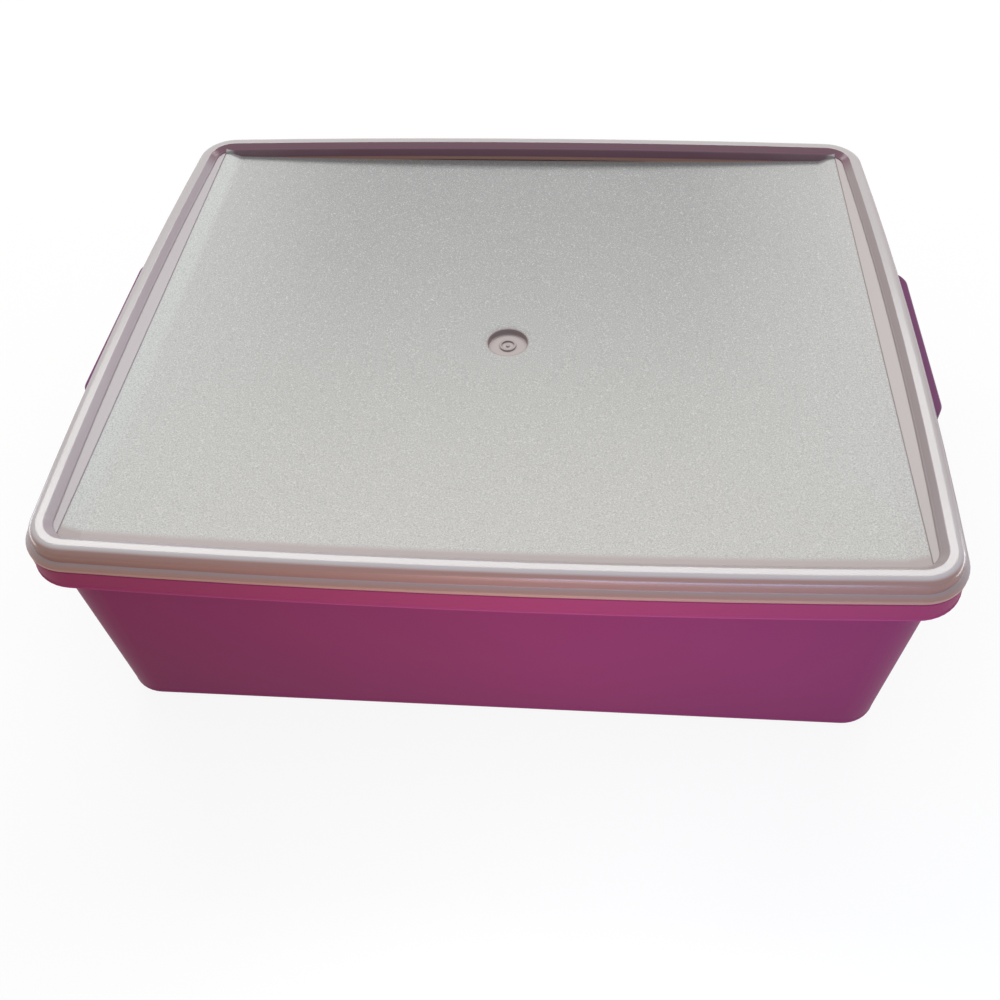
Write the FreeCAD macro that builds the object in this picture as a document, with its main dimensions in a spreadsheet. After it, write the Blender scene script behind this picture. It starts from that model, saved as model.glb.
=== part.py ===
import FreeCAD, Part
import math
import os
import Sketcher

# Storage container: a drafted tub with two moulded grips, and a push-on lid with a dished panel.
# X runs along the long sides, Y along the short sides, Z up. The origin is under the middle of the tub.
# Insets are measured inward from the edge of the lid's brim, the widest outline of the lid.

# Driving dimensions in millimetres.
SIZES = {
    # Brim outline: a rectangle whose four sides bow outward between rounded corners.
    "rim_width": 398.0,
    "rim_depth": 332.0,
    "rim_bow": 4.6,
    "rim_corner": 23.0,
    # Tub walls and floor. The walls step in from the sealing lip and lean in towards the floor.
    "tub_height": 126.2,
    "tub_wall": 2.2,
    "wall_step": 3.9,
    "wall_corner": 25.0,
    "floor_width": 376.0,
    "floor_depth": 310.0,
    "floor_corner": 18.0,
    "floor_wall": 2.4,
    "foot_radius": 4.0,
    "foot_ring": 12.0,
    "foot_recess": 0.8,
    # Sealing lip, and the collar that turns out and down below it and ends in a hem.
    "lip_height": 8.4,
    "lip_chamfer": 0.5,
    "collar_inset": 0.2,
    "collar_height": 10.6,
    "collar_wall": 1.8,
    "collar_chamfer": 0.8,
    "hem_height": 1.0,
    "hem_reach": 0.4,
    # Grips, one on each short side.
    "grip_length": 112.0,
    "grip_reach": 5.8,
    "grip_drop": 2.8,
    "grip_wall": 2.0,
    "grip_root": 1.0,
    "grip_corner": 10.0,
    "grip_chamfer": 0.8,
    # Fits between lid and tub.
    "seat_clearance": 0.3,
    "fit_clearance": 0.4,
    "seal_clearance": 0.5,
    "brim_gap": 0.3,
    # Lid rim, from the brim's edge inward.
    "lid_wall": 1.6,
    "brim_lip": 1.7,
    "brim_reach": 2.7,
    "brim_rise": 1.4,
    "crown_width": 7.3,
    "crown_round": 4.2,
    "facet_run": 3.4,
    "facet_drop": 2.8,
    "seal_wall": 1.4,
    "seal_depth": 3.2,
    "plug_depth": 7.0,
    # Lid panel: side ledges, a step down, plain margins and the dish.
    "ledge_drop": 0.4,
    "panel_width": 366.4,
    "panel_step": 0.5,
    "margin_width": 8.6,
    "margin_drop": 3.3,
    "panel_dip": 13.1,
    "panel_end_dip": 2.4,
    # Gate recess in the middle of the panel: a sloping lead, a cup, a plain ring and the gate's nub.
    "recess_width": 25.0,
    "recess_depth": 3.0,
    "recess_lead": 2.0,
    "recess_chamfer": 0.5,
    "recess_taper": 0.6,
    "ring_width": 8.6,
    "ring_wall": 1.0,
    "ring_height": 0.7,
    "nub_width": 1.8,
    "nub_height": 0.5,
}

doc = FreeCAD.newDocument("storage_container")
sheet = doc.addObject("Spreadsheet::Sheet", "Sizes")
for row, (alias, number) in enumerate(SIZES.items(), start=1):
    sheet.set("A%d" % row, alias)
    sheet.set("B%d" % row, str(number))
    sheet.setAlias("B%d" % row, alias)
doc.recompute()


class Measure:
    """A length that keeps both its value and the expression that ties it to the sheet."""

    def __init__(self, value, text):
        self.value = value
        self.text = text

    def joined(self, sign, other, value):
        return Measure(value, "(%s %s %s)" % (self.text, sign, text_of(other)))

    def __add__(self, other):
        return self.joined("+", other, self.value + value_of(other))

    def __sub__(self, other):
        return self.joined("-", other, self.value - value_of(other))

    def __mul__(self, other):
        return self.joined("*", other, self.value * value_of(other))

    def __truediv__(self, other):
        return self.joined("/", other, self.value / value_of(other))

    def __neg__(self):
        return Measure(-self.value, "(-1 * %s)" % self.text)


def value_of(term):
    return term.value if isinstance(term, Measure) else term


def text_of(term):
    return term.text if isinstance(term, Measure) else str(term)


def size(alias):
    return Measure(float(sheet.get(alias)), "Sizes." + alias)


def diagonal(run, rise):
    square = run * run + rise * rise
    return Measure(math.sqrt(square.value), "sqrt%s" % square.text)


def arc_radius(half_chord, sagitta):
    return (half_chord * half_chord + sagitta * sagitta) / (sagitta * 2)


ZERO = Measure(0.0, "0")
# Two levels this near to each other count as one.
NEAR = 1e-4

# Shared outline and levels.
half_width = size("rim_width") / 2
half_depth = size("rim_depth") / 2
bow = size("rim_bow")
edge_x = half_width + bow
edge_y = half_depth + bow
tub_wall = size("tub_wall")
lid_wall = size("lid_wall")
lip_top = size("tub_height")
collar_top = lip_top - size("lip_height")
collar_bottom = collar_top - size("collar_height")
seat = lip_top + size("seat_clearance")
crown_top = seat + lid_wall
crown_inset = size("brim_reach")
lip_inset = crown_inset + lid_wall + size("fit_clearance")
wall_inset = lip_inset + size("wall_step")
seal_inset = lip_inset + tub_wall + size("seal_clearance")
facet_inset = crown_inset + size("crown_width")
plug_inset = facet_inset + size("facet_run")
crease = crown_top - size("facet_drop")


def new_sketch(body, name, role, offset):
    """A sketch on one of the body's origin planes, moved along the plane's normal."""
    sketch = body.newObject("Sketcher::SketchObject", name)
    plane = [item for item in body.Origin.OriginFeatures if item.Role == role][0]
    sketch.AttachmentSupport = [(plane, "")]
    sketch.MapMode = "FlatFace"
    sketch.setExpression("AttachmentOffset.Base.z", offset.text)
    doc.recompute()
    return sketch


def constrain(sketch, *terms):
    return sketch.addConstraint(Sketcher.Constraint(*terms))


def bind(sketch, measure, kind, *terms):
    """A dimension whose value follows the sheet."""
    index = constrain(sketch, kind, *terms, measure.value)
    sketch.setExpression("Constraints[%d]" % index, measure.text)


def place(sketch, geometry, point, x, y):
    """Ties a point's two coordinates to the sheet."""
    for kind, axis, measure in (("DistanceX", -2, x), ("DistanceY", -1, y)):
        if measure.value == 0:
            constrain(sketch, "PointOnObject", geometry, point, axis)
        elif measure.value > 0:
            bind(sketch, measure, kind, -1, 1, geometry, point)
        else:
            bind(sketch, -measure, kind, geometry, point, -1, 1)


def add_arc(sketch, centre, radius, start, end):
    """A counter-clockwise arc between two angles."""
    circle = Part.Circle(centre, FreeCAD.Vector(0, 0, 1), radius)
    return sketch.addGeometry(Part.ArcOfCircle(circle, start, end))


def angle_of(vector):
    return math.atan2(vector.y, vector.x)


def draw_profile(sketch, corners, arcs={}):
    """A closed outline through corners (x, y) or (x, y, radius).

    arcs maps a side's number to the radius of a hollow arc on that side, which is level
    and centred on the sketch's vertical axis.
    """
    count = len(corners)
    points = [FreeCAD.Vector(corner[0].value, corner[1].value, 0) for corner in corners]
    starts = list(points)
    ends = list(points)
    for i, corner in enumerate(corners):
        if len(corner) == 3:
            back = (points[i - 1] - points[i]).normalize()
            ahead = (points[(i + 1) % count] - points[i]).normalize()
            reach = corner[2].value / math.tan(back.getAngle(ahead) / 2)
            ends[i] = points[i] + back * reach
            starts[i] = points[i] + ahead * reach
    sides = []
    rounds = {}
    for i in range(count):
        after = (i + 1) % count
        if i in arcs:
            radius = arcs[i].value
            half = abs(starts[i].x)
            centre = FreeCAD.Vector(0, starts[i].y + math.sqrt(radius * radius - half * half), 0)
            left, right = sorted((starts[i], ends[after]), key=lambda point: point.x)
            arc = add_arc(sketch, centre, radius, angle_of(left - centre), angle_of(right - centre))
            sides.append((arc, 1, 2) if starts[i].x < 0 else (arc, 2, 1))
        else:
            line = sketch.addGeometry(Part.LineSegment(starts[i], ends[after]))
            sides.append((line, 1, 2))
        if len(corners[after]) == 3:
            first, second = ends[after], starts[after]
            middle = (first + second) / 2
            bisector = (middle - points[after]).normalize()
            radius = corners[after][2].value
            slant = math.hypot(radius, (first - points[after]).Length)
            centre = points[after] + bisector * slant
            turn = (points[after] - first).cross(second - points[after]).z
            if turn > 0:
                arc = add_arc(sketch, centre, radius, angle_of(first - centre), angle_of(second - centre))
                rounds[after] = (arc, 1, 2)
            else:
                arc = add_arc(sketch, centre, radius, angle_of(second - centre), angle_of(first - centre))
                rounds[after] = (arc, 2, 1)
    for i, corner in enumerate(corners):
        before, ahead = sides[i - 1], sides[i]
        if i in rounds:
            arc, first, second = rounds[i]
            mark = sketch.addGeometry(Part.Point(points[i]), True)
            constrain(sketch, "PointOnObject", mark, 1, before[0])
            constrain(sketch, "PointOnObject", mark, 1, ahead[0])
            constrain(sketch, "Tangent", before[0], before[2], arc, first)
            constrain(sketch, "Tangent", arc, second, ahead[0], ahead[1])
            place(sketch, mark, 1, corner[0], corner[1])
            bind(sketch, corner[2], "Radius", arc)
        else:
            constrain(sketch, "Coincident", before[0], before[2], ahead[0], ahead[1])
            place(sketch, ahead[0], ahead[1], corner[0], corner[1])
    for i, radius in arcs.items():
        bind(sketch, radius, "Radius", sides[i][0])


def draw_outline(sketch, inset):
    """The brim's bowed outline, drawn in by an inset that keeps all its arcs concentric."""
    corner = size("rim_corner")
    long_radius = arc_radius(half_width, bow)
    short_radius = arc_radius(half_depth, bow)
    long_back = long_radius - edge_y
    short_back = short_radius - edge_x
    # The corner's centre lies on circles about the centres of the two sides that it joins.
    below = FreeCAD.Vector(0, -long_back.value, 0)
    beside = FreeCAD.Vector(-short_back.value, 0, 0)
    reach_below = (long_radius - corner).value
    reach_beside = (short_radius - corner).value
    apart = (beside - below).Length
    along = (beside - below).normalize()
    share = (apart * apart + reach_below * reach_below - reach_beside * reach_beside) / (2 * apart)
    across = FreeCAD.Vector(-along.y, along.x, 0)
    rise = math.sqrt(reach_below * reach_below - share * share)
    centre = max((below + along * share + across * rise * side for side in (1, -1)), key=lambda p: p.x)
    lean = angle_of(centre - below)
    tilt = angle_of(centre - beside)
    half = math.pi / 2
    sides = []
    for turn, radius, back in (
        (-half, long_radius, long_back),
        (0, short_radius, short_back),
        (half, long_radius, long_back),
        (math.pi, short_radius, short_back),
    ):
        lying = radius is long_radius
        spread = half - lean if lying else tilt
        middle = FreeCAD.Vector(-math.cos(turn) * back.value, -math.sin(turn) * back.value, 0)
        side = add_arc(sketch, middle, (radius - inset).value, turn - spread, turn + spread)
        sign_x = 1 if turn in (-half, 0) else -1
        sign_y = 1 if turn in (0, half) else -1
        spot = FreeCAD.Vector(sign_x * centre.x, sign_y * centre.y, 0)
        start = turn + spread
        end = turn + half - (tilt if lying else half - lean)
        round_arc = add_arc(sketch, spot, (corner - inset).value, start, end)
        sides.append((side, round_arc))
        toward = -back
        if lying:
            place(sketch, side, 3, ZERO, toward if turn > 0 else back)
        else:
            place(sketch, side, 3, toward if turn == 0 else back, ZERO)
        bind(sketch, radius - inset, "Radius", side)
        bind(sketch, corner - inset, "Radius", round_arc)
    for i, (side, round_arc) in enumerate(sides):
        constrain(sketch, "Tangent", side, 2, round_arc, 1)
        constrain(sketch, "Tangent", round_arc, 2, sides[(i + 1) % len(sides)][0], 1)


def rectangle(half_x, half_y, radius):
    return [
        (-half_x, -half_y, radius),
        (half_x, -half_y, radius),
        (half_x, half_y, radius),
        (-half_x, half_y, radius),
    ]


def outline_sketch(body, name, height, inset):
    sketch = new_sketch(body, name, "XY_Plane", height)
    draw_outline(sketch, inset)
    doc.recompute()
    return sketch


def profile_sketch(body, name, role, offset, *loops, arcs={}):
    sketch = new_sketch(body, name, role, offset)
    for loop in loops:
        draw_profile(sketch, loop, arcs)
    doc.recompute()
    return sketch


def finish(feature):
    """Recomputes up to a feature and stops on a broken one."""
    doc.recompute()
    if "Invalid" in feature.State or "Error" in feature.State or feature.Shape.isNull():
        raise RuntimeError("%s did not build" % feature.Name)
    return feature


def loft(body, kind, name, sections, ruled):
    feature = body.newObject("PartDesign::" + kind, name)
    feature.Profile = sections[0]
    feature.Sections = sections[1:]
    feature.Ruled = ruled
    return finish(feature)


def sweep(body, name, profile, spine):
    feature = body.newObject("PartDesign::AdditivePipe", name)
    feature.Profile = profile
    feature.Spine = spine
    return finish(feature)


def pad(body, name, sketch, length):
    feature = body.newObject("PartDesign::Pad", name)
    feature.Profile = sketch
    feature.setExpression("Length", length.text)
    return finish(feature)


def pocket(body, name, sketch, length=None, upward=False):
    """A cut from the sketch downward, or upward, by a length or right through."""
    feature = body.newObject("PartDesign::Pocket", name)
    feature.Profile = sketch
    feature.Reversed = upward
    if length:
        feature.setExpression("Length", length.text)
    else:
        feature.Type = "ThroughAll"
    return finish(feature)


def turned(body, kind, name, sketch):
    """A solid of revolution, or a cut, about the upright axis of its sketch."""
    feature = body.newObject("PartDesign::" + kind, name)
    feature.Profile = sketch
    feature.ReferenceAxis = (sketch, ["V_Axis"])
    feature.Angle = 360
    return finish(feature)


def fillet(body, name, base, radius, wanted):
    """Rounds the edges of a feature that a test picks out."""
    edges = ["Edge%d" % i for i, edge in enumerate(base.Shape.Edges, start=1) if wanted(edge)]
    feature = body.newObject("PartDesign::Fillet", name)
    feature.Base = (base, edges)
    feature.setExpression("Radius", radius.text)
    return finish(feature)


def chamfer(body, name, base, reach, wanted):
    """Bevels the edges of a feature that a test picks out."""
    edges = ["Edge%d" % i for i, edge in enumerate(base.Shape.Edges, start=1) if wanted(edge)]
    feature = body.newObject("PartDesign::Chamfer", name)
    feature.Base = (base, edges)
    feature.setExpression("Size", reach.text)
    return finish(feature)


def level_edge(edge, height):
    return all(math.isclose(vertex.Z, height, abs_tol=NEAR) for vertex in edge.Vertexes)


# Tub.
tub = doc.addObject("PartDesign::Body", "tub")
tub.Label = "tub"

floor_x = size("floor_width") / 2
floor_y = size("floor_depth") / 2
floor_corner = size("floor_corner")
floor_level = size("floor_wall")
wall_x = edge_x - wall_inset
wall_y = edge_y - wall_inset
wall_corner = size("wall_corner")
collar_wall = size("collar_wall")
collar_inset = size("collar_inset")

# Foot with a rounded bottom edge, and straight walls that lean out from it to the bowed rim.
foot_top = size("foot_radius") + floor_level
foot = pad(tub, "foot", profile_sketch(tub, "floor_outline", "XY_Plane", ZERO,
                                       rectangle(floor_x, floor_y, floor_corner)), foot_top)
fillet(tub, "foot_round", foot, size("foot_radius"), lambda edge: level_edge(edge, 0))
loft(tub, "AdditiveLoft", "walls", [
    profile_sketch(tub, "wall_foot", "XY_Plane", foot_top, rectangle(floor_x, floor_y, floor_corner)),
    profile_sketch(tub, "wall_head", "XY_Plane", collar_top - collar_wall / 2,
                   rectangle(wall_x, wall_y, wall_corner)),
], True)

# Sealing lip, shoulder and turned-down collar in one swept section. The shoulder reaches past the walls.
collar_out = edge_y - collar_inset
collar_in = collar_out - collar_wall
collar_bevel = size("collar_chamfer")
lip_out = edge_y - lip_inset
lip_in = lip_out - tub_wall
lip_bevel = size("lip_chamfer")
shoulder_in = edge_y - wall_inset - tub_wall * 2
hem_top = collar_bottom + size("hem_height")
hem_reach = size("hem_reach")
rim_profile = profile_sketch(tub, "rim_profile", "YZ_Plane", ZERO, [
    (collar_in, collar_bottom),
    (collar_out + hem_reach, collar_bottom),
    (collar_out + hem_reach, hem_top - hem_reach),
    (collar_out, hem_top),
    (collar_out, collar_top - collar_bevel),
    (collar_out - collar_bevel, collar_top),
    (lip_out, collar_top),
    (lip_out, lip_top - lip_bevel),
    (lip_out - lip_bevel, lip_top),
    (lip_in, lip_top),
    (lip_in, collar_top),
    (shoulder_in, collar_top),
    (shoulder_in, collar_top - collar_wall),
    (collar_in, collar_top - collar_wall),
])
sweep(tub, "rim", rim_profile, outline_sketch(tub, "rim_path", lip_top, ZERO))

# Storage space, cut from the shoulder down to the floor, with a rounded floor edge.
cavity_base = rectangle(floor_x - tub_wall, floor_y - tub_wall, floor_corner - tub_wall)
loft(tub, "SubtractiveLoft", "cavity", [
    profile_sketch(tub, "cavity_foot", "XY_Plane", foot_top, cavity_base),
    profile_sketch(tub, "cavity_mouth", "XY_Plane", collar_top + tub_wall,
                   rectangle(wall_x - tub_wall, wall_y - tub_wall, wall_corner - tub_wall)),
], True)
floor_outline = profile_sketch(tub, "floor_cut_outline", "XY_Plane", foot_top, cavity_base)
floor_cut = pocket(tub, "floor_cut", floor_outline, foot_top - floor_level)
fillet(tub, "floor_round", floor_cut, size("foot_radius") - tub_wall,
       lambda edge: level_edge(edge, floor_level.value))

# Grips: hoods on the collar, open below for the fingers, which reach in to the wall behind the collar.
grip_wall = size("grip_wall")
grip_corner = size("grip_corner")
grip_top = collar_top - size("grip_drop")
grip_end = size("grip_length") / 2
grip_out = edge_x - collar_inset + size("grip_reach")
grip_in = edge_x - collar_inset - collar_wall / 2


def hood(inner, outer, end, corner):
    """Plan outlines of the right and left grip."""
    right = [(inner, -end), (outer, -end, corner), (outer, end, corner), (inner, end)]
    left = [(-outer, -end, corner), (-inner, -end), (-inner, end), (-outer, end, corner)]
    return right, left


grips = pad(tub, "grips", profile_sketch(tub, "grip_outline", "XY_Plane", collar_bottom,
                                         *hood(grip_in, grip_out, grip_end, grip_corner)),
            grip_top - collar_bottom)
collar_face = edge_x - collar_inset
chamfer(tub, "grip_bevel", grips, size("grip_chamfer"),
        lambda edge: level_edge(edge, grip_top.value) and abs(edge.CenterOfMass.x) > collar_face.value)
finger_in = edge_x - wall_inset + size("grip_root")
pocket(tub, "finger_space", profile_sketch(
    tub, "finger_outline", "XY_Plane", grip_top - grip_wall,
    *hood(finger_in, grip_out - grip_wall, grip_end - grip_wall, grip_corner - grip_wall)))

# Underside: a shallow recess that leaves a standing ring.
foot_ring = size("foot_ring")
pocket(tub, "foot_recess", profile_sketch(
    tub, "foot_outline", "XY_Plane", ZERO,
    rectangle(floor_x - foot_ring, floor_y - foot_ring, floor_corner - foot_ring / 2)),
    size("foot_recess"), upward=True)

# Lid.
lid = doc.addObject("PartDesign::Body", "lid")
lid.Label = "lid"

# Panel sections across the lid: ledge, step, plain margin and hollow dish on a constant wall.
ledge_top = crease - size("ledge_drop")
panel_x = size("panel_width") / 2
step_foot = ledge_top - size("panel_step")
dish_x = panel_x - size("margin_width")
dish_edge = step_foot - size("margin_drop")


def panel_section(name, offset, dip):
    right_below = [
        (dish_x, dish_edge - lid_wall),
        (panel_x + lid_wall, step_foot - lid_wall),
        (panel_x + lid_wall, ledge_top - lid_wall),
        (half_width, ledge_top - lid_wall),
    ]
    right_above = [
        (half_width, ledge_top),
        (panel_x, ledge_top),
        (panel_x, step_foot),
        (dish_x, dish_edge),
    ]
    left_above = [(-x, z) for x, z in reversed(right_above)]
    left_below = [(-x, z) for x, z in reversed(right_below)]
    corners = right_below + right_above + left_above + left_below
    radius = arc_radius(dish_x, dip)
    return profile_sketch(lid, name, "XZ_Plane", offset, corners, arcs={7: radius, 15: radius})


loft(lid, "AdditiveLoft", "panel", [
    panel_section("front_section", half_depth, size("panel_end_dip")),
    panel_section("middle_section", ZERO, size("panel_dip")),
    panel_section("back_section", -half_depth, size("panel_end_dip")),
], False)

# The panel ends inside the plug wall that carries it.
trim = new_sketch(lid, "panel_trim", "XY_Plane", crown_top)
draw_outline(trim, plug_inset - lid_wall / 2)
frame_x = half_width + size("rim_corner")
frame_y = half_depth + size("rim_corner")
draw_profile(trim, [(-frame_x, -frame_y), (frame_x, -frame_y), (frame_x, frame_y), (-frame_x, frame_y)])
pocket(lid, "panel_edge", trim)

# Rim: brim, crown, sealing rib and plug wall in one swept section.
brim_bottom = collar_top + size("brim_gap")
brim_top = brim_bottom + size("brim_lip")
brim_rise = size("brim_rise")
brim_slant = diagonal(crown_inset, brim_rise)
brim_drop = lid_wall * brim_slant / crown_inset
facet_run = size("facet_run")
facet_drop = size("facet_drop")
facet_slant = diagonal(facet_run, facet_drop)
channel_inset = crown_inset + lid_wall
seal_end = seal_inset + size("seal_wall")
plug_bottom = crease - size("plug_depth")
lid_profile = profile_sketch(lid, "lid_profile", "YZ_Plane", ZERO, [
    (edge_y - plug_inset, plug_bottom),
    (edge_y - plug_inset + lid_wall, plug_bottom),
    (edge_y - plug_inset + lid_wall, crease - lid_wall * (facet_slant - facet_drop) / facet_run),
    (edge_y - facet_inset + lid_wall * (facet_slant - facet_run) / facet_drop, seat),
    (edge_y - seal_end, seat),
    (edge_y - seal_end, seat - size("seal_depth")),
    (edge_y - seal_inset, seat - size("seal_depth")),
    (edge_y - seal_inset, seat),
    (edge_y - channel_inset, seat),
    (edge_y - channel_inset, brim_top + channel_inset * brim_rise / crown_inset - brim_drop),
    (edge_y - lid_wall, brim_top + lid_wall * brim_rise / crown_inset - brim_drop),
    (edge_y - lid_wall, brim_bottom),
    (edge_y, brim_bottom),
    (edge_y, brim_top),
    (edge_y - crown_inset, brim_top + brim_rise),
    (edge_y - crown_inset, crown_top, size("crown_round")),
    (edge_y - facet_inset, crown_top),
    (edge_y - plug_inset, crease),
])
sweep(lid, "lid_rim", lid_profile, outline_sketch(lid, "lid_path", crown_top, ZERO))

# Gate recess: a shallow cup below the dish, with one plain ring and the gate's nub on its floor.
recess_out = size("recess_width") / 2
dish_middle = dish_edge - size("panel_dip")
recess_floor = dish_middle - size("recess_depth")
lead = size("recess_lead")
lead_drop = size("recess_chamfer")
recess_in = recess_out - lead - size("recess_taper")
ring_out = size("ring_width") / 2
ring_in = ring_out - size("ring_wall")
ring_top = recess_floor + size("ring_height")
nub_out = size("nub_width") / 2
nub_top = recess_floor + size("nub_height")
turned(lid, "Revolution", "gate_cup", profile_sketch(lid, "cup_profile", "XZ_Plane", ZERO, [
    (ZERO, recess_floor - lid_wall),
    (recess_in + lid_wall, recess_floor - lid_wall),
    (recess_out + lid_wall, dish_middle - lid_wall / 2),
    (ZERO, dish_middle - lid_wall / 2),
]))
turned(lid, "Groove", "gate_recess", profile_sketch(lid, "recess_profile", "XZ_Plane", ZERO, [
    (ZERO, nub_top),
    (nub_out, nub_top),
    (nub_out, recess_floor),
    (ring_in, recess_floor),
    (ring_in, ring_top),
    (ring_out, ring_top),
    (ring_out, recess_floor),
    (recess_in, recess_floor),
    (recess_out - lead, dish_middle - lead_drop),
    (recess_out + lead, dish_middle + lead_drop),
    (ZERO, dish_middle + lead_drop),
]))

# Checks and parts.
doc.recompute()
for item in doc.Objects:
    if "Invalid" in item.State or "Error" in item.State:
        raise RuntimeError("%s is broken" % item.Name)
os.makedirs("parts", exist_ok=True)
for body in (tub, lid):
    shape = body.Shape
    if shape.isNull() or not shape.isValid() or len(shape.Solids) != 1:
        raise RuntimeError("%s is not one valid solid" % body.Label)
    shape.exportStep(os.path.join("parts", body.Label + ".step"))
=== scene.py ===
import math
import bpy
from mathutils import Matrix, Vector


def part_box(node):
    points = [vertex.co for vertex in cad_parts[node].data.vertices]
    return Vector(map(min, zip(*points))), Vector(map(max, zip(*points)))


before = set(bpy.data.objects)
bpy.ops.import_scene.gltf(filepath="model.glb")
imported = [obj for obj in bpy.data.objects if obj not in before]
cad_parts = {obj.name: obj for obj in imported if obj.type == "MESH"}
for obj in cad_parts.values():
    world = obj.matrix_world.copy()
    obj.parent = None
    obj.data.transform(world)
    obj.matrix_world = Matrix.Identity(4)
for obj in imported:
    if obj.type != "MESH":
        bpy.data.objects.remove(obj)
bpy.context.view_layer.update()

# Camera, resectioned from the photograph. Lengths in metres, angles in degrees.
CAMERA_PLACE = (0.03999, -0.42922, 0.47348)
CAMERA_YAW = 6.43
CAMERA_DIP = 48.65
CAMERA_ROLL = -3.0
CAMERA_LENS_MM = 38.68
SENSOR_MM = 36.0

# Places on the lid, in metres on the frame's own axes.
LID_HALF_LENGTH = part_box("lid")[1][0]
LID_HALF_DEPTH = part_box("lid")[1][1]
RIM_WIDTH = 0.0134
RIM_BOW = 0.0046
PANEL_HALF_LENGTH = 0.1832
MARGIN_START = 0.1746
CREASE_TOP = 0.1256
BRIM_TOP = 0.1200
STRIP_WIDTH = 0.0105
RECESS_RADIUS = 0.0108
BACK_SHADE_FADE = (0.13, 0.15)
RIGHT_FADE = (-0.1, 0.1)
EDGE_BLUR = 0.0005
WIDE_BLUR = 4 * EDGE_BLUR

# Places on the tub, in metres.
COLLAR_BOTTOM = 0.1072
HEM_TOP = 0.1080
GRIP_START = 0.2039

# Tub plastic. A noise is its scale and its detail.
WALL_DEEP = (0.220, 0.032, 0.106, 1)
WALL_PALE = (0.262, 0.040, 0.132, 1)
# Painted light: the thin collar is lighter and warmer, a painted glow of light coming through
# it.
COLLAR_PAINTED_GLOW = (0.32, 0.050, 0.132, 1)
# Painted highlight: a bright line along the bottom edge of the collar.
HEM_PAINTED_HIGHLIGHT = (0.38, 0.065, 0.175, 1)
# Painted shade: the grips are darker, though they are the same plastic as the wall.
GRIP_PAINTED_SHADE = (0.18, 0.06, 0.15, 1)
WALL_CLOUD_NOISE = (9.0, 3.0)
WALL_SPECKLE_NOISE = (900.0, 2.0)
WALL_BUMP = 0.12
WALL_BUMP_DEPTH = 0.0002
WALL_ROUGHNESS = (0.38, 0.5)
WALL_SPECULAR = 0.05

# Panel of the lid. Fades along an axis are shares of the lid's half size.
# Painted shade: the panel darkens toward the back, where its dish tilts away from the window.
PANEL_BACK_SHADE = (0.255, 0.262, 0.262, 1)
PANEL_FRONT = (0.535, 0.53, 0.515, 1)
PANEL_SHADE_FADE = (1.1, -1.2)
# Painted light: the panel is lighter toward its short ends, where its dish is flatter.
PANEL_SIDE_LIGHT = (0.52, 0.525, 0.515, 1)
PANEL_SIDE_LIGHT_SHARE = 0.6
PANEL_SIDE_LIGHT_START = 0.4
PANEL_CLOUD = (0.50, 0.505, 0.495, 1)
PANEL_CLOUD_SHARE = 0.15
PANEL_CLOUD_NOISE = (16.0, 3.0)
RIGHT_MARGIN = (0.53, 0.52, 0.515, 1)
RIGHT_MARGIN_SHARE = 0.4
# Painted light: the left margin is lighter where its slope faces the window.
LEFT_MARGIN_LIGHT = (0.56, 0.58, 0.57, 1)
LEFT_MARGIN_LIGHT_SHARE = 0.8
GRAIN_NOISE = (1700.0, 2.0)
DARK_GRAIN = (0.28, 0.28, 0.275, 1)
DARK_GRAIN_SHARE = 0.5
DARK_GRAIN_RANGE = (0.52, 0.30)
LIGHT_GRAIN = (0.72, 0.72, 0.70, 1)
LIGHT_GRAIN_SHARE = 0.65
LIGHT_GRAIN_RANGE = (0.50, 0.74)
# Painted shade, pinkish, on the smooth strip along the front of the panel and in the gate
# recess.
STRIP_SHADE = (0.37, 0.315, 0.31, 1)
# Painted shade on the steep walls inside the rim.
STEEP_WALL_SHADE = (0.24, 0.16, 0.17, 1)
STEEP_WALL_SHADE_SHARE = 0.45
STEEP_WALL_SHADE_RANGE = (0.98, 0.3)

# Rim of the lid. The ranges are parts of the surface normal.
LEDGE_LEFT = (0.435, 0.395, 0.415, 1)
LEDGE_RIGHT = (0.43, 0.385, 0.38, 1)
CROWN_COLOUR = (0.47, 0.435, 0.445, 1)
# Painted shade on the steep facets inside the crown, tinted by the purple below and lighter
# on the left.
FACET_LEFT_SHADE = (0.37, 0.315, 0.345, 1)
FACET_RIGHT_SHADE = (0.31, 0.255, 0.26, 1)
# Painted shade: the back facet faces away from the window and is darkest.
FACET_BACK_SHADE = (0.19, 0.09, 0.125, 1)
# Painted shade on the steep outer sides of the crown.
OUTER_SIDE_SHADE = (0.36, 0.30, 0.315, 1)
# Painted shade and painted warm light from the table make the front-facing sides tan.
OUTER_FRONT_SHADE = (0.315, 0.172, 0.142, 1)
BRIM_SIDE = (0.40, 0.35, 0.375, 1)
# Painted shade and painted warm light from the table on the front of the brim.
BRIM_FRONT_SHADE = (0.41, 0.225, 0.175, 1)
OUTWARD_RANGE = (-0.01, 0.01)
FRONT_SHADE_RANGE = (-0.1, -0.5)
STEEP_SIDE_SHADE_RANGE = (0.99, 0.78)

# Finish of the lid.
SOFT_EDGE_RADIUS = 0.0009
SOFT_EDGE_SAMPLES = 6
GRAIN_BUMP = 0.35
GRAIN_BUMP_DEPTH = 0.0003
SMOOTH_ROUGHNESS = 0.4
GRAINED_ROUGHNESS = 0.55
CROWN_ROUGHNESS = 0.22
LID_SPECULAR = 0.5
COAT_BACK = 0.05
COAT_FRONT = 0.5
COAT_FADE = (-0.6, -0.9)
COAT_ROUGHNESS = 0.15

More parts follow.
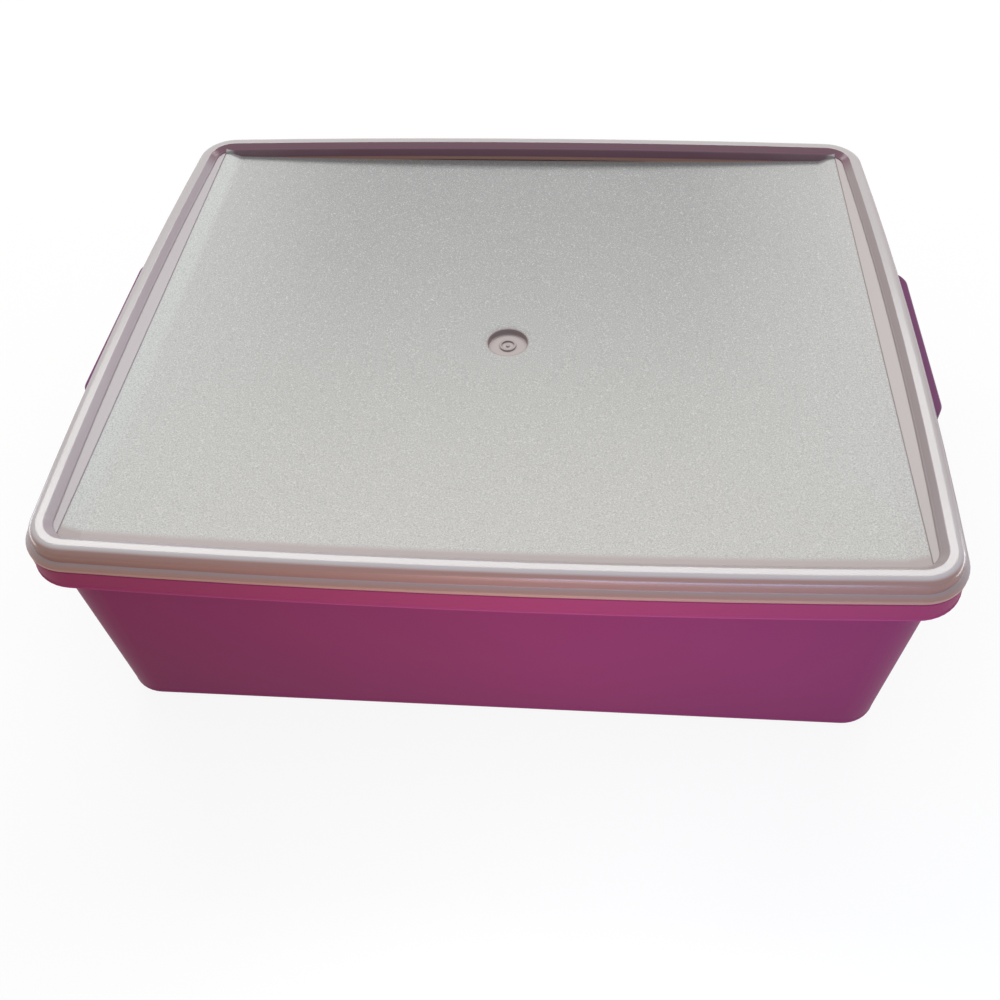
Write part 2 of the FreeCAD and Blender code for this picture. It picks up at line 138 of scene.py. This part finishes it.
# Floor and room. The floor and the room show as white and give a dimmer, warmer light.
WHITE = (1, 1, 1, 1)
FLOOR_REACH = 12.0
FLOOR_DROP = 0.0002
FLOOR_TABLE = (0.42, 0.27, 0.13, 1)
FLOOR_PAINT = (0.9, 0.9, 0.9, 1)
FLOOR_GLOW_SHARE = 0.88
ROOM_LOW = (0.17, 0.115, 0.05, 1)
ROOM_HIGH = (0.68, 0.69, 0.71, 1)
ROOM_FADE = (0.2, 0.8)

# Light from a large window behind the object.
WINDOW_DISTANCE = 2.2
WINDOW_TURN = 5.0
WINDOW_RISE = 50.0
WINDOW_TARGET = (0, 0, 0.12)
WINDOW_SIZE = (2.86, 0.78)
WINDOW_WATTS = 38.0
WINDOW_COLOUR = (1.0, 1.0, 0.98)

# Small cool lamp in front of the right half of the tub.
COOL_PLACE = (0.13, -0.45, 0.12)
COOL_TARGET = (0.11, -0.15, 0.08)
COOL_SIZE = (0.25, 0.15)
COOL_WATTS = 0.70
COOL_COLOUR = (0.34, 0.58, 1.0)

# Small warm lamp close to the middle of the tub's front.
WARM_PLACE = (0.02, -0.38, 0.09)
WARM_TARGET = (0.02, -0.15, 0.07)
WARM_SIZE = (0.15, 0.10)
WARM_WATTS = 0.22
WARM_COLOUR = (1.0, 0.6, 0.45)

# Soft lamps level with the tub, one at each short side.
SIDE_DISTANCE = 1.1
SIDE_DEPTH = 0.1
SIDE_HEIGHT = 0.08
SIDE_SIZE = (0.8, 0.2)
SIDE_COLOUR = (0.84, 0.9, 1.0)
RIGHT_WATTS = 3.0
LEFT_WATTS = 2.0


def node(tree, kind, inputs=None, **settings):
    """Adds a shader node, sets its options and fills or links its inputs."""
    made = tree.nodes.new("ShaderNode" + kind)
    for name, value in settings.items():
        setattr(made, name, value)
    for name, value in (inputs or {}).items():
        if isinstance(value, bpy.types.NodeSocket):
            tree.links.new(value, made.inputs[name])
        else:
            made.inputs[name].default_value = value
    return made


def maths(tree, operation, *values):
    return node(tree, "Math", dict(enumerate(values)), operation=operation).outputs[0]


def ramp(tree, value, low, high):
    """Goes smoothly from 0 at the low value to 1 at the high one."""
    inputs = {"Value": value, "From Min": low, "From Max": high}
    return node(tree, "MapRange", inputs, interpolation_type="SMOOTHSTEP").outputs["Result"]


def blend(tree, share, first, second):
    """A colour between two others."""
    inputs = {"Factor": share, "A": first, "B": second}
    return node(tree, "Mix", inputs, data_type="RGBA").outputs["Result"]


def wash(tree, mask, share, under, over):
    """Lays a share of one colour over another where the mask is 1."""
    return blend(tree, maths(tree, "MULTIPLY", mask, share), under, over)


def between(tree, share, first, second):
    """A number between two others."""
    inputs = {"Factor": share, "A": first, "B": second}
    return node(tree, "Mix", inputs, data_type="FLOAT").outputs["Result"]


def noise(tree, place, scale, detail):
    inputs = {"Vector": place, "Scale": scale, "Detail": detail}
    return node(tree, "TexNoise", inputs).outputs["Fac"]


def parts(tree, vector):
    """The X, Y and Z of a vector."""
    return node(tree, "SeparateXYZ", {"Vector": vector}).outputs


def new_material(name):
    material = bpy.data.materials.new(name)
    material.use_nodes = True
    material.node_tree.nodes.clear()
    return material, material.node_tree


def surface(material, shader):
    tree = material.node_tree
    output = node(tree, "OutputMaterial")
    tree.links.new(shader.outputs[0], output.inputs["Surface"])
    return material


def tub_plastic():
    """Satin purple plastic, with a warmer painted glow on the thin collar, a painted
    highlight along its hem and painted shade on the solid grips.
    """
    material, tree = new_material("tub_plastic_look")
    place = node(tree, "TexCoord").outputs["Object"]
    axes = parts(tree, place)
    cloud = noise(tree, place, *WALL_CLOUD_NOISE)
    speckle = noise(tree, place, *WALL_SPECKLE_NOISE)
    tint = blend(tree, cloud, WALL_DEEP, WALL_PALE)
    # Painted glow on the thin collar.
    collar = ramp(tree, axes["Z"], COLLAR_BOTTOM - EDGE_BLUR, COLLAR_BOTTOM)
    tint = blend(tree, collar, tint, COLLAR_PAINTED_GLOW)
    # Painted highlight along the bottom edge of the collar.
    hem = ramp(tree, axes["Z"], HEM_TOP + EDGE_BLUR, HEM_TOP)
    tint = wash(tree, collar, hem, tint, HEM_PAINTED_HIGHLIGHT)
    # Painted shade on the grips.
    beyond = maths(tree, "SUBTRACT", maths(tree, "ABSOLUTE", axes["X"]), GRIP_START)
    grip_shade = ramp(tree, beyond, 0.0, 2 * EDGE_BLUR)
    tint = blend(tree, grip_shade, tint, GRIP_PAINTED_SHADE)
    bump = node(tree, "Bump", {
        "Height": speckle,
        "Strength": WALL_BUMP,
        "Distance": WALL_BUMP_DEPTH,
    })
    shader = node(tree, "BsdfPrincipled", {
        "Base Color": tint,
        "Roughness": between(tree, cloud, *WALL_ROUGHNESS),
        "Specular IOR Level": WALL_SPECULAR,
        "Normal": bump.outputs["Normal"],
    })
    return surface(material, shader)


def panel_mask(tree, x, y):
    """1 on the panel inside the rim and the side ledges, 0 elsewhere."""
    along = maths(tree, "DIVIDE", x, LID_HALF_LENGTH)
    bow = maths(tree, "MULTIPLY", maths(tree, "POWER", along, 2.0), RIM_BOW)
    wall = maths(tree, "SUBTRACT", LID_HALF_DEPTH - RIM_WIDTH, bow)
    room_y = maths(tree, "SUBTRACT", wall, maths(tree, "ABSOLUTE", y))
    room_x = maths(tree, "SUBTRACT", PANEL_HALF_LENGTH, maths(tree, "ABSOLUTE", x))
    return ramp(tree, maths(tree, "MINIMUM", room_x, room_y), 0.0, EDGE_BLUR)


def smooth_parts(tree, x, y):
    """1 on the strip along the front of the panel and in the gate recess."""
    strip_edge = LID_HALF_DEPTH - RIM_WIDTH - STRIP_WIDTH
    forward = maths(tree, "MULTIPLY", y, -1.0)
    strip = ramp(tree, forward, strip_edge - WIDE_BLUR, strip_edge + WIDE_BLUR)
    x_squared = maths(tree, "MULTIPLY", x, x)
    y_squared = maths(tree, "MULTIPLY", y, y)
    radius = maths(tree, "SQRT", maths(tree, "ADD", x_squared, y_squared))
    recess = ramp(tree, radius, RECESS_RADIUS + EDGE_BLUR, RECESS_RADIUS)
    return maths(tree, "MAXIMUM", strip, recess)


def side_margin(tree, x, side):
    """1 on the margin at the right of the panel, or at its left for a side of -1."""
    outward = maths(tree, "MULTIPLY", x, side)
    return ramp(tree, outward, MARGIN_START - WIDE_BLUR, MARGIN_START + WIDE_BLUR)


def panel_tint(tree, place, x, y, grain):
    """Grey panel with painted shade toward the back middle, painted light toward its short
    ends and on its left margin, and light and dark grains.
    """
    cloud = noise(tree, place, *PANEL_CLOUD_NOISE)
    # Painted shade toward the back and painted light toward the short ends.
    front = ramp(tree, y, *(share * LID_HALF_DEPTH for share in PANEL_SHADE_FADE))
    tint = blend(tree, front, PANEL_BACK_SHADE, PANEL_FRONT)
    side_start = PANEL_SIDE_LIGHT_START * LID_HALF_LENGTH
    side = ramp(tree, maths(tree, "ABSOLUTE", x), side_start, LID_HALF_LENGTH)
    tint = wash(tree, side, PANEL_SIDE_LIGHT_SHARE, tint, PANEL_SIDE_LIGHT)
    tint = wash(tree, cloud, PANEL_CLOUD_SHARE, tint, PANEL_CLOUD)
    tint = wash(tree, side_margin(tree, x, 1.0), RIGHT_MARGIN_SHARE, tint, RIGHT_MARGIN)
    # Painted light on the left margin.
    tint = wash(tree, side_margin(tree, x, -1.0), LEFT_MARGIN_LIGHT_SHARE, tint, LEFT_MARGIN_LIGHT)
    dark = ramp(tree, grain, *DARK_GRAIN_RANGE)
    light = ramp(tree, grain, *LIGHT_GRAIN_RANGE)
    tint = wash(tree, dark, DARK_GRAIN_SHARE, tint, DARK_GRAIN)
    return wash(tree, light, LIGHT_GRAIN_SHARE, tint, LIGHT_GRAIN)


def rim_tint(tree, place, normal, axes, upright):
    """Pale lilac rim. Its steep sides carry painted shade, tinted by the purple below, and
    its front is tan: painted shade with painted warm light from the table.
    """
    x, y, height = axes["X"], axes["Y"], axes["Z"]
    flat = node(tree, "VectorMath", {0: place, 1: (1, 1, 0)}, operation="MULTIPLY")
    dot = node(tree, "VectorMath", {0: flat.outputs["Vector"], 1: normal},
               operation="DOT_PRODUCT")
    outer = ramp(tree, dot.outputs["Value"], *OUTWARD_RANGE)
    # Front-facing parts take a tan of painted shade and painted warm light.
    front = ramp(tree, parts(tree, normal)["Y"], *FRONT_SHADE_RANGE)
    crown = ramp(tree, height, CREASE_TOP - EDGE_BLUR, CREASE_TOP + EDGE_BLUR)
    right = ramp(tree, x, *RIGHT_FADE)
    ledge = blend(tree, right, LEDGE_LEFT, LEDGE_RIGHT)
    pale = blend(tree, crown, ledge, CROWN_COLOUR)
    facet = blend(tree, right, FACET_LEFT_SHADE, FACET_RIGHT_SHADE)
    # Painted shade, darkest on the back facet.
    inner_shade = blend(tree, ramp(tree, y, *BACK_SHADE_FADE), facet, FACET_BACK_SHADE)
    outer_shade = blend(tree, front, OUTER_SIDE_SHADE, OUTER_FRONT_SHADE)
    side = blend(tree, outer, inner_shade, outer_shade)
    # Steep parts of the rim take the painted shade.
    tint = blend(tree, ramp(tree, upright, *STEEP_SIDE_SHADE_RANGE), pale, side)
    # The front of the brim takes the same painted shade and warm light.
    brim = ramp(tree, height, BRIM_TOP + 2 * EDGE_BLUR, BRIM_TOP)
    return blend(tree, brim, tint, blend(tree, front, BRIM_SIDE, BRIM_FRONT_SHADE))


def lid_plastic():
    """Milky plastic: a grained panel, smoother strips around it and a glossy rim."""
    material, tree = new_material("lid_plastic_look")
    place = node(tree, "TexCoord").outputs["Object"]
    axes = parts(tree, place)
    x, y, height = axes["X"], axes["Y"], axes["Z"]
    normal = node(tree, "NewGeometry").outputs["Normal"]
    upright = parts(tree, normal)["Z"]
    panel = panel_mask(tree, x, y)
    smooth = smooth_parts(tree, x, y)
    grained = maths(tree, "MULTIPLY", panel, maths(tree, "SUBTRACT", 1.0, smooth))
    grain = noise(tree, place, *GRAIN_NOISE)

    # Painted shade on the smooth strip and in the gate recess.
    inside = blend(tree, smooth, panel_tint(tree, place, x, y, grain), STRIP_SHADE)
    # Painted shade on the steep walls inside the rim.
    steep = ramp(tree, upright, *STEEP_WALL_SHADE_RANGE)
    inside = wash(tree, steep, STEEP_WALL_SHADE_SHARE, inside, STEEP_WALL_SHADE)
    tint = blend(tree, panel, rim_tint(tree, place, normal, axes, upright), inside)

    soft_edge = node(tree, "Bevel", {"Radius": SOFT_EDGE_RADIUS}, samples=SOFT_EDGE_SAMPLES)
    bump = node(tree, "Bump", {
        "Height": maths(tree, "MULTIPLY", grain, grained),
        "Strength": GRAIN_BUMP,
        "Distance": GRAIN_BUMP_DEPTH,
        "Normal": soft_edge.outputs[0],
    })
    top = ramp(tree, height, CREASE_TOP, CREASE_TOP + EDGE_BLUR)
    front = ramp(tree, y, *(share * LID_HALF_DEPTH for share in COAT_FADE))
    low_roughness = between(tree, grained, SMOOTH_ROUGHNESS, GRAINED_ROUGHNESS)
    coat = between(tree, front, COAT_BACK, COAT_FRONT)
    shader = node(tree, "BsdfPrincipled", {
        "Base Color": tint,
        "Roughness": between(tree, top, low_roughness, CROWN_ROUGHNESS),
        "Specular IOR Level": LID_SPECULAR,
        "Coat Weight": maths(tree, "MULTIPLY", top, coat),
        "Coat Roughness": COAT_ROUGHNESS,
        "Normal": bump.outputs["Normal"],
        "Coat Normal": soft_edge.outputs[0],
    })
    return surface(material, shader)


def dress():
    for name, material in (("tub", tub_plastic()), ("lid", lid_plastic())):
        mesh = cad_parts[name].data
        mesh.materials.clear()
        mesh.materials.append(material)


def area_light(name, place, target, size, watts, colour):
    data = bpy.data.lights.new(name, "AREA")
    data.shape = "RECTANGLE"
    data.size, data.size_y = size
    data.energy = watts
    data.color = colour
    lamp = bpy.data.objects.new(name, data)
    lamp.location = place
    lamp.rotation_mode = "QUATERNION"
    lamp.rotation_quaternion = (Vector(target) - Vector(place)).to_track_quat("-Z", "Y")
    bpy.context.scene.collection.objects.link(lamp)


def seen_directly(tree):
    """1 for rays that show the background, straight on or in a reflection."""
    seen = node(tree, "LightPath").outputs
    bounced = maths(tree, "MAXIMUM", seen["Is Glossy Ray"], seen["Is Transmission Ray"])
    return maths(tree, "MAXIMUM", seen["Is Camera Ray"], bounced)


def floor():
    """Warm table that shows as white and keeps a faint shadow."""
    mesh = bpy.data.meshes.new("floor")
    reach = FLOOR_REACH
    corners = [(-reach, -reach, 0), (reach, -reach, 0), (reach, reach, 0), (-reach, reach, 0)]
    mesh.from_pydata(corners, [], [(0, 1, 2, 3)])
    made = bpy.data.objects.new("floor", mesh)
    made.location.z = -FLOOR_DROP
    bpy.context.scene.collection.objects.link(made)
    material, tree = new_material("floor_white")
    table = node(tree, "BsdfDiffuse", {"Color": FLOOR_TABLE}).outputs[0]
    paint = node(tree, "BsdfDiffuse", {"Color": FLOOR_PAINT}).outputs[0]
    glow = node(tree, "Emission", {"Color": WHITE, "Strength": 1.0}).outputs[0]
    shown = node(tree, "MixShader", {0: FLOOR_GLOW_SHARE, 1: paint, 2: glow}).outputs[0]
    both = node(tree, "MixShader", {0: seen_directly(tree), 1: table, 2: shown})
    mesh.materials.append(surface(material, both))


def sky():
    """Soft room light, dim and warm near the floor. It shows as white."""
    world = bpy.data.worlds.new("studio")
    bpy.context.scene.world = world
    world.use_nodes = True
    tree = world.node_tree
    tree.nodes.clear()
    direction = node(tree, "TexCoord").outputs["Generated"]
    rise = ramp(tree, parts(tree, direction)["Z"], *ROOM_FADE)
    room = blend(tree, rise, ROOM_LOW, ROOM_HIGH)
    colour = blend(tree, seen_directly(tree), room, WHITE)
    light = node(tree, "Background", {"Color": colour, "Strength": 1.0})
    output = node(tree, "OutputWorld")
    tree.links.new(light.outputs[0], output.inputs["Surface"])


def studio():
    floor()
    sky()
    turn = math.radians(WINDOW_TURN)
    rise = math.radians(WINDOW_RISE)
    level = math.cos(rise)
    toward = Vector((-math.sin(turn) * level, math.cos(turn) * level, math.sin(rise)))
    window = Vector(WINDOW_TARGET) + toward * WINDOW_DISTANCE
    area_light("window", window, WINDOW_TARGET, WINDOW_SIZE, WINDOW_WATTS, WINDOW_COLOUR)
    area_light("cool_lamp", COOL_PLACE, COOL_TARGET, COOL_SIZE, COOL_WATTS, COOL_COLOUR)
    area_light("warm_lamp", WARM_PLACE, WARM_TARGET, WARM_SIZE, WARM_WATTS, WARM_COLOUR)
    side_target = (0, SIDE_DEPTH, SIDE_HEIGHT)
    for name, side, watts in (("right_lamp", 1, RIGHT_WATTS), ("left_lamp", -1, LEFT_WATTS)):
        place = (side * SIDE_DISTANCE, SIDE_DEPTH, SIDE_HEIGHT)
        area_light(name, place, side_target, SIDE_SIZE, watts, SIDE_COLOUR)


def camera():
    data = bpy.data.cameras.new("camera")
    data.lens = CAMERA_LENS_MM
    data.sensor_width = SENSOR_MM
    made = bpy.data.objects.new("camera", data)
    turn = (Matrix.Rotation(math.radians(CAMERA_YAW), 4, "Z")
            @ Matrix.Rotation(math.radians(90 - CAMERA_DIP), 4, "X")
            @ Matrix.Rotation(math.radians(CAMERA_ROLL), 4, "Z"))
    made.matrix_world = Matrix.Translation(CAMERA_PLACE) @ turn
    bpy.context.scene.collection.objects.link(made)
    bpy.context.scene.camera = made


dress()
studio()
camera()
bpy.context.scene.view_settings.view_transform = "Standard"
